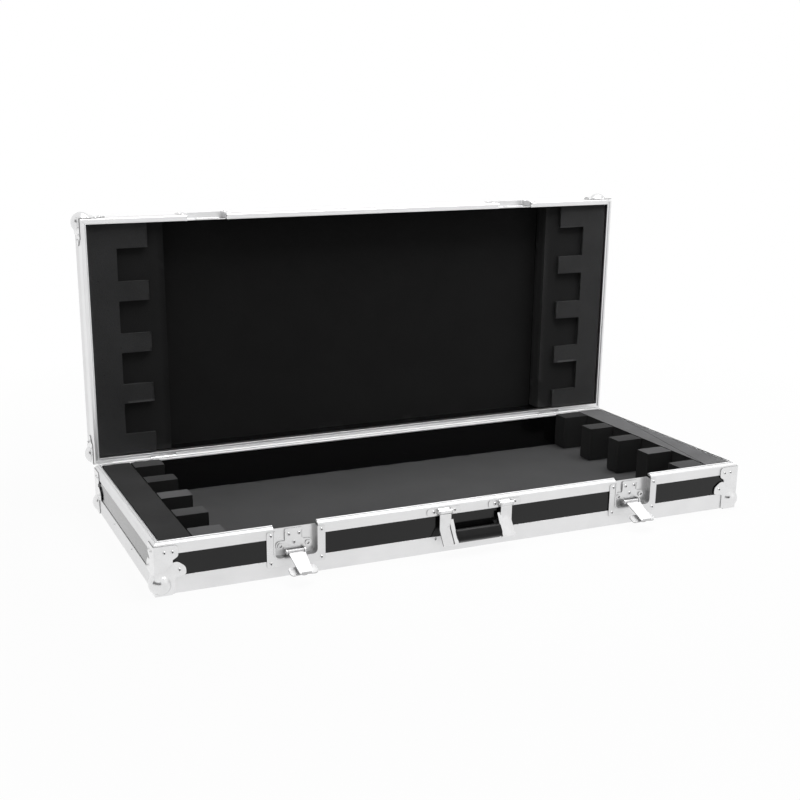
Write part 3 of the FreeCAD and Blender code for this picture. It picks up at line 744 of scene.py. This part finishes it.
@dataclass
class Shell:
    """Panels, edge angles and rims of the base and lid."""

    ease_mm: float = 0.4
    end_round_mm: float = 2.6
    latch_gaps_m: tuple[float, float] = (0.2, 0.45)
    profiles: tuple[str, ...] = ("base_rim_", "lid_rim_", "base_bottom", "base_corner_angles",
                                 "lid_top_angles")

    def dress(self, frame: dict, finishes: Finishes) -> None:
        """Finishes the panels and shows eased copies of the profiles.

        Args:
            frame: The loaded frame.
            finishes: The finishes.
        """
        for node in nodes_named(frame, "base_panel", "lid_panel"):
            frame["nodes"][node].data.materials.clear()
            frame["nodes"][node].data.materials.append(finishes.laminate)
        for node in nodes_named(frame, *self.profiles):
            if "braces" in node:
                continue
            body = Body.LID if node.startswith("lid") else Body.BASE
            side = node.endswith(("left", "right"))
            run = (Run.Z if body is Body.LID else Run.Y) if side else Run.X
            mesh = self._rounded_ends(eased_mesh(frame, node), body) if node.endswith("rim_front") else None
            finish = finishes.lid_profile[run] if node.startswith("lid_rim") else finishes.profile[run]
            softened(frame, node, body, Slot.ALUMINIUM, [finish], self.ease_mm, mesh=mesh)

    def _rounded_ends(self, mesh: BMesh, body: Body) -> BMesh:
        """Rounds off a front rim where it stops at the latch gaps.

        Args:
            mesh: The rim's copy.
            body: The body that it belongs to.

        Returns:
            The same mesh.
        """
        mating = max(v.co.z for v in mesh.verts) if body is Body.BASE else min(v.co.y for v in mesh.verts)
        axis = 2 if body is Body.BASE else 1
        near, far = self.latch_gaps_m
        ends = [edge for edge in mesh.edges
                if abs(edge.verts[0].co.x - edge.verts[1].co.x) < LEVEL
                and near < abs(edge.verts[0].co.x) < far
                and all(abs(vert.co[axis] - mating) < LEVEL for vert in edge.verts)]
        bmesh.ops.bevel(mesh, geom=ends, offset=self.end_round_mm * MM, segments=4, profile=0.5,
                        affect="EDGES", material=-1)
        return mesh


@dataclass
class Fittings:
    """Pressed and plated fittings: corners, braces, dishes, brackets, hinges, latches and handle arms."""

    ease_mm: float = 0.3
    grip_ease_mm: float = 1.0
    latch_out_mm: float = 335.0
    lug_out_mm: float = 24.5
    lug_up_mm: float = 50.5
    hole_mm: float = 2.6
    sheet_mm: float = 1.7
    sharp_deg: float = 55.0
    outward_share: float = 0.7
    plated: tuple[str, ...] = ("base_ball", "base_rim_braces", "base_latch_dish", "base_latch_bracket",
                               "base_handle_brackets", "base_hinge_leaf", "lid_ball", "lid_rim_braces",
                               "lid_latch_dish", "lid_keeper", "lid_hinge_leaf", "latch_carrier",
                               "latch_hook", "latch_wing")
    turned: tuple[str, ...] = ("base_latch_bars", "base_handle_pins", "base_hinge_pins")

    def dress(self, frame: dict, finishes: Finishes) -> None:
        """Shows eased copies of the steel fittings and of the handle.

        Args:
            frame: The loaded frame.
            finishes: The finishes.
        """
        plate = finishes.plate
        for node in nodes_named(frame, *self.plated):
            pressed = "dish" in node or "bracket" in node
            finish = plate[Plate.PRESSED if pressed else Plate.STEEL]
            if node.startswith("latch"):
                # The wings take the darker plate: painted shade.
                finish = plate[Plate.DULL if "wing" in node else Plate.SATIN]
            mesh = eased_mesh(frame, node)
            if pressed and node.startswith("base"):
                self._edged(mesh)
            elif "ball" in node or "braces" in node:
                self._trimmed(mesh)
            if "latch_bracket" in node:
                self._pitted(mesh, node)
            # The second finish is a darker plate: painted shade on walls and edges.
            edge = plate[Plate.WALL if pressed else Plate.EDGE]
            materials = [finish, edge, plate[Plate.PIT]]
            softened(frame, node, self._body(node), Slot.STEEL, materials, self.ease_mm, mesh=mesh)
        for node in nodes_named(frame, *self.turned):
            softened(frame, node, self._body(node), Slot.CHROME, [plate[Plate.CHROME]], self.ease_mm)
        arms = eased_mesh(frame, "handle_arms")
        # The arms' outward faces take the dark edge plate: painted shade.
        for face in arms.faces:
            outward = face.normal.x * math.copysign(1.0, face.calc_center_median().x)
            face.material_index = 1 if outward > self.outward_share else 0
        softened(frame, "handle_arms", Body.HANDLE, Slot.CHROME, [plate[Plate.CHROME], plate[Plate.EDGE]],
                 self.ease_mm, mesh=arms)
        softened(frame, "handle_grip", Body.HANDLE, Slot.GRIP, [finishes.grip], self.grip_ease_mm, 3)

    @staticmethod
    def _edged(mesh: BMesh) -> None:
        """Puts the walls and cut edges of a front pressing on its second finish, a darker plate of painted
        shade.
        """
        for face in mesh.faces:
            face.material_index = 1 if abs(face.normal.y) < 0.5 else 0

    def _trimmed(self, mesh: BMesh) -> None:
        """Puts the cut edges of sheet leaves, narrow faces between sharp edges, on their second finish, a
        dark plate of painted shade.
        """
        least = math.radians(self.sharp_deg)
        for face in mesh.faces:
            sharp = sum(edge.is_manifold and edge.calc_face_angle() > least for edge in face.edges)
            width = 2 * face.calc_area() / face.calc_perimeter()
            face.material_index = 1 if sharp > 1 and width < self.sheet_mm * MM else 0

    def _pitted(self, mesh: BMesh, node: str) -> None:
        """Puts the walls of a latch bracket's eyelet holes on its third finish, painted shade.

        Args:
            mesh: The bracket's copy.
            node: Its node.
        """
        middle = self.latch_out_mm * (1 if node.endswith("right") else -1)
        lugs = [middle + hand * self.lug_out_mm for hand in (-1, 1)]
        for face in mesh.faces:
            at = face.calc_center_median() / MM
            out = min(math.hypot(at.x - lug, at.z - self.lug_up_mm) for lug in lugs)
            if out < self.hole_mm and abs(face.normal.y) < 0.5:
                face.material_index = 2

    @staticmethod
    def _body(node: str) -> Body:
        """The body that a node belongs to."""
        return next(body for body in Body if node.startswith(body.value))


@dataclass
class RivetHeads:
    """Domed rivet heads with a pit in painted shade, set where the frame's plain heads are."""

    radius_mm: float = 3.2
    rise_mm: float = 1.3
    steps: int = 10
    profile: tuple[tuple[float, float], ...] = ((0.0, 0.0), (1.0, 0.0), (0.96, 0.40), (0.78, 0.82),
                                                (0.50, 1.0), (0.40, 0.45), (0.0, 0.40))
    pit_share: float = 0.45
    foot_mm: float = 0.1
    sharp_deg: float = 50.0

    def dress(self, frame: dict, finishes: Finishes) -> None:
        """Shows a domed head instead of each plain one.

        Args:
            frame: The loaded frame.
            finishes: The finishes.
        """
        head = self._head()
        for node, body in (("base_rivets", Body.BASE), ("lid_rivets", Body.LID)):
            whole = bmesh.new()
            for seat in self._seats(frame["nodes"][node]):
                head.transform(seat)
                whole.from_mesh(head)
                head.transform(seat.inverted())
            for face in whole.faces:
                face.smooth = True
            made = put(whole, node + "_domed", body, Slot.STEEL, finishes.plate[Plate.STEEL],
                       finishes.plate[Plate.PIT])
            made.data.set_sharp_from_angle(angle=math.radians(self.sharp_deg))
            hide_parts(node)
        bpy.data.meshes.remove(head)

    def _head(self) -> bpy.types.Mesh:
        """One head at the origin, pointing up.

        Returns:
            Its mesh, with the pit's faces on the second material, painted shade.
        """
        mesh = bmesh.new()
        points = [mesh.verts.new((out * self.radius_mm * MM, 0, up * self.rise_mm * MM))
                  for out, up in self.profile]
        lines = [mesh.edges.new(pair) for pair in zip(points, points[1:])]
        bmesh.ops.spin(mesh, geom=points + lines, cent=(0, 0, 0), axis=(0, 0, 1), angle=math.tau,
                       steps=self.steps, use_merge=True)
        bmesh.ops.remove_doubles(mesh, verts=mesh.verts, dist=5 * MERGE)
        bmesh.ops.recalc_face_normals(mesh, faces=mesh.faces)
        for face in mesh.faces:
            middle = face.calc_center_median()
            inside = middle.xy.length < self.pit_share * self.radius_mm * MM
            face.material_index = 1 if inside and middle.z > self.foot_mm * MM else 0
        data = bpy.data.meshes.new("rivet_head")
        mesh.to_mesh(data)
        mesh.free()
        return data

    def _seats(self, node: bpy.types.Object) -> list[Matrix]:
        """Places of the plain heads.

        Args:
            node: The frame's group of heads.

        Returns:
            A matrix for each, with its third axis out of the wall.
        """
        mesh = bmesh.new()
        mesh.from_mesh(node.data)
        bmesh.ops.remove_doubles(mesh, verts=mesh.verts, dist=MERGE)
        left, seats = set(mesh.verts), []
        while left:
            island, queue = set(), [next(iter(left))]
            while queue:
                vert = queue.pop()
                if vert in left:
                    left.discard(vert)
                    island.add(vert)
                    queue += [edge.other_vert(vert) for edge in vert.link_edges]
            seats.append(self._seat([v.co.copy() for v in island]))
        mesh.free()
        return sorted(seats, key=lambda seat: tuple(round(c, 5) for c in seat.translation))

    @staticmethod
    def _seat(points: list[Vector]) -> Matrix:
        """The place of one plain head, whose wider end is its foot.

        Args:
            points: Its corners.

        Returns:
            Its matrix.
        """
        low = Vector([min(p[k] for p in points) for k in range(3)])
        high = Vector([max(p[k] for p in points) for k in range(3)])
        axis = min(range(3), key=lambda k: high[k] - low[k])
        middle = (low + high) / 2
        reach = {level: max((p - middle).length for p in points if abs(p[axis] - level) < 10 * MERGE)
                 for level in (low[axis], high[axis])}
        foot = max(reach, key=lambda level: reach[level])
        out = Vector((0, 0, 0))
        out[axis] = 1.0 if foot == low[axis] else -1.0
        middle[axis] = foot
        return Matrix.Translation(middle) @ out.to_track_quat("Z", "Y").to_matrix().to_4x4()


@dataclass(frozen=True)
class Cut:
    """How a foam blank is cut: its grid, eased edge and unevenness in millimetres."""

    grid: float = 6.0
    edge: float = 1.4
    wander: float = 0.5
    crown: float = 0.5
    nick: float = 0.9
    slow_wave: float = 45.0
    quick_wave: float = 9.0
    nick_wave: float = 5.0
    slow_share: float = 0.7
    quick_share: float = 0.3


@dataclass(frozen=True)
class CombPlan:
    """The layout of a base comb in millimetres: its tones of painted light and shade, a seam in its spine,
    its notches and teeth.
    """

    node: str
    spine: Tone
    teeth: tuple[Tone, ...]
    seam: tuple[tuple[float, float], tuple[float, float]] | None = None
    pitch: float = 100.39
    notch: float = 63.0
    count: int = 4
    root: float = 509.0

    def teeth_ends(self, start: float, end: float) -> list[tuple[float, float]]:
        """Where the teeth between the notches start and end.

        Args:
            start: The comb's own start along its spine.
            end: Its end.

        Returns:
            The places, in order.
        """
        first = -self.pitch * (self.count - 1) / 2
        middles = [first + k * self.pitch for k in range(self.count)]
        places = [start]
        for middle in middles:
            places += [middle - self.notch / 2, middle + self.notch / 2]
        places.append(end)
        return list(zip(places[::2], places[1::2]))


@dataclass
class FoamSet:
    """Foam combs, layers, floor pad and lining, each blank cut and eased by hand."""

    seam_gap: float = 0.5
    strip_gap: float = 0.15
    face_share: float = 0.6
    sharp_deg: float = 60.0
    lid_seed: int = 5
    cut: Cut = Cut()
    sheet_cut: Cut = Cut(14.0, 0.8, 0.6, 0.4)
    strip_cut: Cut = Cut(6.0, 0.5, 0.4, 0.2)
    lid_cut: Cut = Cut(6.0, 0.7, 0.8, 0.5)
    tones: tuple[Tone, ...] = (Tone.PLAIN, Tone.WORN, Tone.BARE, Tone.DARK, Tone.DEEP, Tone.WALL)
    # Each spine and tooth takes a lit or shaded copy of the foam: painted light and painted shade.
    combs: tuple[CombPlan, ...] = (
        CombPlan("base_foam_comb_right", Tone.BARE, (Tone.PLAIN, Tone.WORN, Tone.DARK, Tone.DARK, Tone.DEEP),
                 ((566.0, 142.0), (528.5, -92.0))),
        CombPlan("base_foam_comb_left", Tone.DEEP, (Tone.WORN, Tone.PLAIN, Tone.WORN, Tone.DARK, Tone.PLAIN)),
    )
    sheets: tuple[tuple[str, Tone], ...] = (
        ("base_foam_floor", Tone.FLOOR),
        ("lid_foam_layer_left", Tone.LAYER),
        ("lid_foam_layer_right", Tone.LAYER),
        ("lid_lining", Tone.LINING),
    )

    def build(self, frame: dict, finishes: Finishes) -> None:
        """Makes the foam pieces and stands them for the frame's plain solids.

        Args:
            frame: The loaded frame.
            finishes: The finishes.
        """
        for plan in self.combs:
            self._comb(plan, finishes)
        for node in nodes_named(frame, "lid_foam_comb"):
            self._place(self._sheet_comb(frame["nodes"][node]), node, finishes.foam[Tone.LID],
                        finishes.foam[Tone.LID_WALL])
        for node, tone in self.sheets:
            low, high = (Vector(c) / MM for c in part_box(node))
            self._place(self._blank(low, high, self.sheet_cut, 0), node, finishes.foam[tone])

    def _comb(self, plan: CombPlan, finishes: Finishes) -> None:
        """Cuts one comb as a spine with separate teeth pressed against it.

        Args:
            plan: The comb's layout.
            finishes: The finishes.
        """
        low, high = (Vector(c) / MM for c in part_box(plan.node))
        tip, outer = sorted((abs(low.x), abs(high.x)))
        whole = bmesh.new()
        for tone, ends in zip(plan.teeth, plan.teeth_ends(low.y, high.y)):
            self._join(whole, self._span(low, high, (tip, plan.root - self.seam_gap), ends), tone)
        spine = (plan.root, outer)
        for hand in (1.0,) if plan.seam is None else (1.0, -1.0):
            self._join(whole, self._span(low, high, spine, (low.y, high.y), plan.seam, hand), plan.spine)
        self._place(whole, plan.node, *(finishes.foam[tone] for tone in self.tones))

    def _sheet_comb(self, node: bpy.types.Object) -> BMesh:
        """A comb cut from one sheet, in the outline of its plain solid.

        Args:
            node: The frame's plain comb.

        Returns:
            The comb's mesh in metres.
        """
        mesh = bmesh.new()
        mesh.from_mesh(node.data)
        bmesh.ops.scale(mesh, verts=mesh.verts, vec=(1 / MM, 1 / MM, 1 / MM))
        bmesh.ops.remove_doubles(mesh, verts=mesh.verts, dist=0.002)
        bmesh.ops.dissolve_limit(mesh, angle_limit=math.radians(1), verts=mesh.verts, edges=mesh.edges)
        low, high = (Vector(c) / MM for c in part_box(node.name))
        self._worked(mesh, low, high, self.lid_cut, self.lid_seed)
        mesh.normal_update()
        # Faces that do not face the front take the lid wall tone: painted shade.
        for face in mesh.faces:
            face.material_index = 0 if face.normal.y < -self.face_share else 1
        return mesh

    def _span(self, low: Vector, high: Vector, across: tuple[float, float], ends: tuple[float, float],
              seam: tuple | None = None, hand: float = 1.0) -> BMesh:
        """A blank between two offsets from the middle plane and two places along the comb.

        Args:
            low: The comb's lowest corner.
            high: Its highest corner.
            across: The offsets from the middle plane.
            ends: The places along the comb.
            seam: Two plan points of a slanting cut, if there is one.
            hand: The side of that cut to keep.

        Returns:
            The blank's mesh.
        """
        side = 1 if high.x > 0 else -1
        near, far = low.copy(), high.copy()
        near.x, far.x = sorted(side * offset for offset in across)
        near.y, far.y = ends
        cut = self.cut if seam is None else self.strip_cut
        return self._blank(near, far, cut, int(abs(near.y)) + side, seam, hand)

    def _blank(self, low: Vector, high: Vector, cut: Cut, seed: int, seam: tuple | None = None,
               hand: float = 1.0) -> BMesh:
        """A foam blank: a box, cut along a seam if it has one, then worked.

        Args:
            low: Its lowest corner in millimetres.
            high: Its highest corner.
            cut: How it is cut.
            seed: Shifts its unevenness.
            seam: Two plan points of a slanting cut, if there is one.
            hand: The side of that cut to keep.

        Returns:
            The blank's mesh in metres.
        """
        mesh = bmesh.new()
        size, middle = high - low, (low + high) / 2
        box = Matrix.Translation(middle) @ Matrix.Diagonal(size.to_4d())
        bmesh.ops.create_cube(mesh, size=1.0, matrix=box)
        if seam is not None:
            start, end = Vector((*seam[0], middle.z)), Vector((*seam[1], middle.z))
            across = (end - start).cross(Vector((0, 0, 1))).normalized() * hand
            bmesh.ops.bisect_plane(mesh, geom=[*mesh.verts, *mesh.edges, *mesh.faces], clear_inner=True,
                                   plane_co=start + across * (self.strip_gap / 2), plane_no=across)
            bmesh.ops.holes_fill(mesh, edges=[edge for edge in mesh.edges if edge.is_boundary], sides=0)
        return self._worked(mesh, low, high, cut, seed)

    def _worked(self, mesh: BMesh, low: Vector, high: Vector, cut: Cut, seed: int) -> BMesh:
        """Eases a blank's edges, grids it and makes it uneven.

        Args:
            mesh: The sharp blank in millimetres.
            low: Its lowest corner.
            high: Its highest corner.
            cut: How it is cut.
            seed: Shifts its unevenness.

        Returns:
            The same mesh, in metres.
        """
        size = high - low
        bmesh.ops.bevel(mesh, geom=mesh.edges[:], offset=min(cut.edge, min(size) / 4), segments=2,
                        profile=0.5, affect="EDGES", material=-1)
        for axis in range(3):
            steps = max(1, round(size[axis] / cut.grid))
            normal = Vector([float(axis == k) for k in range(3)])
            for step in range(1, steps):
                bmesh.ops.bisect_plane(mesh, geom=[*mesh.verts, *mesh.edges, *mesh.faces],
                                       plane_co=low + normal * (size[axis] * step / steps), plane_no=normal)
        mesh.normal_update()
        self._weather(mesh, low, high, cut, seed)
        bmesh.ops.scale(mesh, verts=mesh.verts, vec=(MM, MM, MM))
        return mesh

    @staticmethod
    def _weather(mesh: BMesh, low: Vector, high: Vector, cut: Cut, seed: int) -> None:
        """Crowns the faces, nicks the edges and lets the cut wander.

        Args:
            mesh: The gridded blank in millimetres.
            low: Its lowest corner.
            high: Its highest corner.
            cut: How it is cut.
            seed: Shifts its unevenness.
        """
        shift = Vector((seed * 13.7, seed * 7.1, seed * 3.3))
        moves = []
        for vert in mesh.verts:
            gaps = [min(vert.co[k] - low[k], high[k] - vert.co[k]) for k in range(3)]
            near_edge = sum(gap < 2 * cut.edge for gap in gaps) > 1
            bulge = 1.0
            for k in range(3):
                share = (vert.co[k] - low[k]) / (high[k] - low[k])
                bulge *= 1.0 if abs(vert.normal[k]) > 0.7 else max(0.0, 1.0 - (2 * share - 1) ** 4)
            slow = noise.noise((vert.co + shift) / cut.slow_wave)
            quick = noise.noise((vert.co - shift) / cut.quick_wave)
            nick = abs(noise.noise((vert.co + shift) / cut.nick_wave)) if near_edge else 0.0
            wander = cut.slow_share * slow + cut.quick_share * quick - cut.slow_share
            push = cut.crown * (bulge - 1.0) + cut.wander * wander - cut.nick * nick
            moves.append(vert.normal * push)
        for vert, move in zip(mesh.verts, moves):
            vert.co += move

    def _join(self, whole: BMesh, part: BMesh, tone: Tone) -> None:
        """Adds a blank to a comb: its top in one of the tones, and its cut walls in the wall tone, painted
        shade.

        Args:
            whole: The comb.
            part: The blank, freed here.
            tone: The tone of its top.
        """
        part.normal_update()
        for face in part.faces:
            # Faces that do not face up take the wall tone: painted shade.
            face.material_index = self.tones.index(tone if face.normal.z > self.face_share else Tone.WALL)
        data = bpy.data.meshes.new("foam_blank")
        part.to_mesh(data)
        part.free()
        whole.from_mesh(data)
        bpy.data.meshes.remove(data)

    def _place(self, mesh: BMesh, node: str, *materials: bpy.types.Material) -> None:
        """Stands a finished foam piece for its plain solid.

        Args:
            mesh: The piece's mesh, freed here.
            node: The node that it stands for.
            materials: Its materials, in order.
        """
        for face in mesh.faces:
            face.smooth = True
        body = Body.LID if node.startswith("lid") else Body.BASE
        made = put(mesh, node + "_cut", body, Slot.FOAM, *materials)
        made.data.set_sharp_from_angle(angle=math.radians(self.sharp_deg))
        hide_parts(node)


def main() -> None:
    """Builds the case's looks in order."""
    logging.basicConfig(level=logging.INFO, format="%(name)s: %(message)s")
    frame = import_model()
    finishes = Finishes().build()
    Shell().dress(frame, finishes)
    Fittings().dress(frame, finishes)
    RivetHeads().dress(frame, finishes)
    FoamSet().build(frame, finishes)
    Studio().build()


if __name__ == "__main__":
    main()
